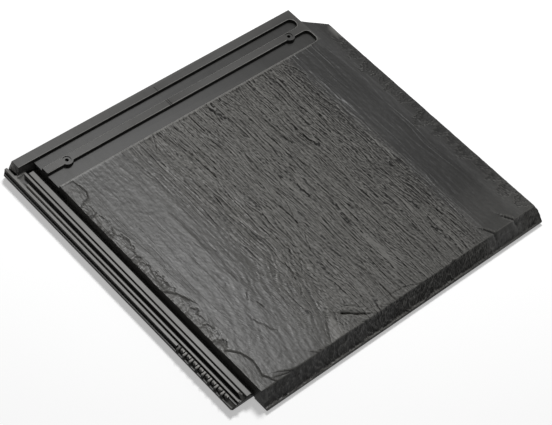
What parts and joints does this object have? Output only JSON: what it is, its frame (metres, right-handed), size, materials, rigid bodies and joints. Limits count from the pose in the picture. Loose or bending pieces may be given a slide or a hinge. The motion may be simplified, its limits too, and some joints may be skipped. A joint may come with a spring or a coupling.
{
  "type": "flat interlocking clay roof tile",
  "caption": "Flat interlocking clay roof tile with a slate-like face, side and head locks, a cover flange, nail holes and batten nibs.",
  "frame": {"origin": "middle of the tile's footprint, level with its storm ribs' and nibs' undersides", "axes": "+X across the tile from the side lock to the cover flange, +Y up the roof from tail to head, +Z out of the roof"},
  "size_m": [0.52, 0.462, 0.028],
  "materials": {
    "engobed_clay": "matte slate-grey engobe over fired clay, with a soft sheen"
  },
  "bodies": {
    "root": {"roof_tile": "engobed_clay"}
  },
  "joints": []
}
